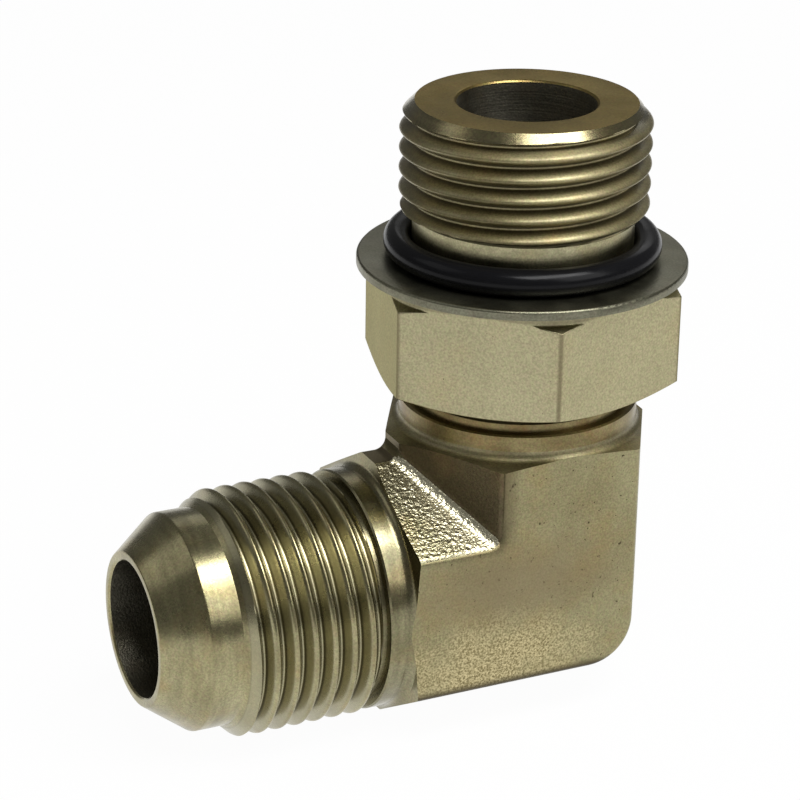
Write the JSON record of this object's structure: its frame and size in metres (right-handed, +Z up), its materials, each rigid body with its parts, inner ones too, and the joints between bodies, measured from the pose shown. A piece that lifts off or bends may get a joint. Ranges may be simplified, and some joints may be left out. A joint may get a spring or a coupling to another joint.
{
  "type": "adjustable hydraulic elbow adapter",
  "caption": "Right-angle hydraulic adapter: flared tube end on one leg, adjustable O-ring stud with lock nut and backup washer on the other.",
  "frame": {"origin": "where the axes of the two legs cross, inside the forging", "axes": "+Z up and out of the O-ring stud, -X out of the flared leg, Y across the wrench flats"},
  "size_m": [0.0522, 0.0294, 0.0551],
  "materials": {
    "body_steel": "satin zinc plating with an olive cast, forged skin left on the slopes",
    "nut_steel": "satin zinc plating, pale olive",
    "washer_steel": "satin zinc plating, darker olive",
    "seal_rubber": "smooth black nitrile rubber"
  },
  "bodies": {
    "elbow": {"elbow_body": "body_steel"},
    "washer_stack": {"backup_washer": "washer_steel", "o_ring": "seal_rubber"},
    "nut": {"lock_nut": "nut_steel"}
  },
  "joints": [
    {"name": "washer_slide", "type": "slide", "parent": "elbow", "child": "washer_stack", "axis": [0, 0, 1], "range_m": [-0.00182, 0.00182]},
    {"name": "nut_turn", "type": "hinge", "parent": "washer_stack", "child": "nut", "pos_m": [0, 0, 0.0239], "axis": [0, 0, 1], "range_deg": [-360, 360]}
  ],
  "couplings": [
    {"joint": "washer_slide", "follows": "nut_turn", "m_per_rad": 0.00028875}
  ]
}
